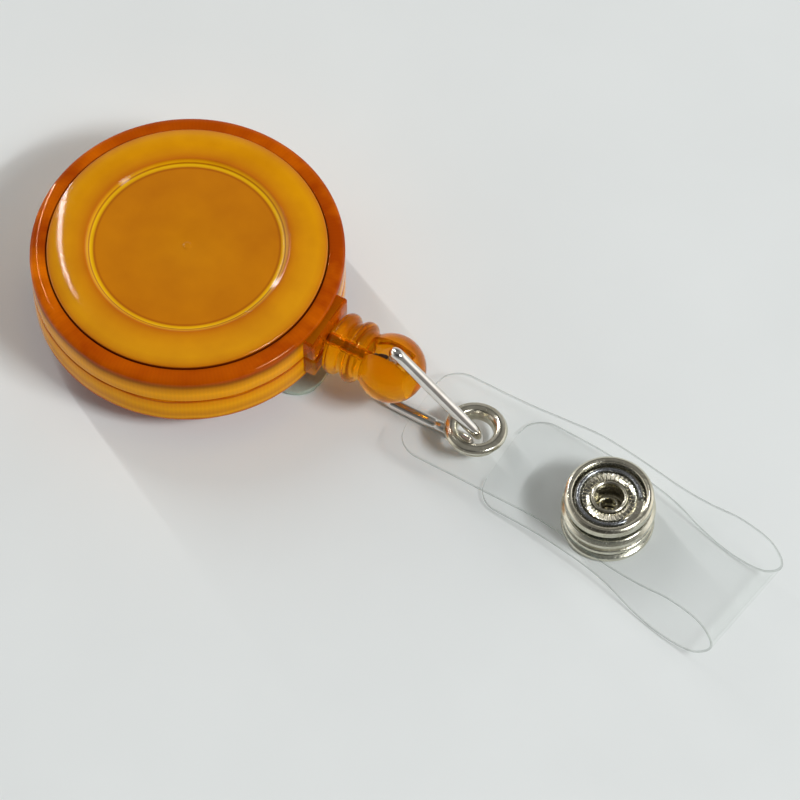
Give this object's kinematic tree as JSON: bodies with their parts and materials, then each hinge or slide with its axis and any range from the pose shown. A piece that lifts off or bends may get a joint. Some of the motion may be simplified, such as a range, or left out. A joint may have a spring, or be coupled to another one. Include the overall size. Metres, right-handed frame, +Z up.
{
  "type": "retractable badge reel",
  "caption": "Retractable badge reel: round translucent case on a belt clip, sprung cord with ball fitting, wire link and clear strap closed by a snap.",
  "frame": {"origin": "middle of the whole object's extent in plan, on the surface it lies on", "axes": "+X along the cord as it leaves the case, towards the strap; +Z up, out of the face of the case"},
  "size_m": [0.084, 0.032, 0.0122],
  "materials": {
    "amber_plastic": "translucent polished",
    "white_plastic": "satin",
    "nickel": "bright nickel plate",
    "clip_steel": "satin plated",
    "spring_steel": "bright",
    "clear_vinyl": "clear flexible",
    "black_nylon": "braided cord"
  },
  "bodies": {
    "housing": {"front_shell": "amber_plastic", "face_disc": "amber_plastic", "back_shell": "amber_plastic", "power_spring": "spring_steel", "cord_run": "black_nylon", "clip_base": "clip_steel", "clip_rivet": "nickel"},
    "spool": {"spool": "white_plastic", "wound_cord": "black_nylon"},
    "clip_tongue": {"clip_tongue": "clip_steel"},
    "cord_end": {"cord_end_fitting": "amber_plastic", "cord_lead": "black_nylon", "cord_knot": "black_nylon"},
    "link": {"wire_link": "nickel"},
    "strap": {"strap_upper": "clear_vinyl", "eyelet": "nickel", "snap_socket": "nickel", "snap_socket_post": "nickel", "snap_spring": "spring_steel"},
    "flap": {"strap_flap": "clear_vinyl", "snap_stud": "nickel", "snap_stud_post": "nickel"}
  },
  "joints": [
    {"name": "cord_pull", "type": "slide", "parent": "housing", "child": "cord_end", "axis": [1, 0, 0], "range_m": [0, 0.6], "stiffness_N_per_m": 0.8, "springref_m": -0.6},
    {"name": "spool_spin", "type": "hinge", "parent": "housing", "child": "spool", "pos_m": [-0.02597, 0, 0.0068], "axis": [0, 0, 1], "range_deg": [0, 3400]},
    {"name": "link_pitch", "type": "hinge", "parent": "cord_end", "child": "link", "pos_m": [-0.0018, -0.00025, 0.007], "axis": [0, -1, 0], "range_deg": [0, 12]},
    {"name": "strap_swivel", "type": "hinge", "parent": "link", "child": "strap", "pos_m": [0.00803, -0.0002, 0.0023], "axis": [0, 0, 1], "range_deg": [-45, 45]},
    {"name": "snap_open", "type": "hinge", "parent": "strap", "child": "flap", "pos_m": [0.04026, -0.00372, 0.00459], "axis": [-0.153, -0.9882, 0], "range_deg": [0, 30]},
    {"name": "clip_flex", "type": "hinge", "parent": "housing", "child": "clip_tongue", "pos_m": [-0.03987, 0, 0.0003], "axis": [0, 1, 0], "range_deg": [0, 10], "stiffness_Nm_per_rad": 0.9, "springref_deg": -2.86}
  ],
  "couplings": [
    {"joint": "spool_spin", "follows": "cord_pull", "rad_per_m": 97.6}
  ]
}
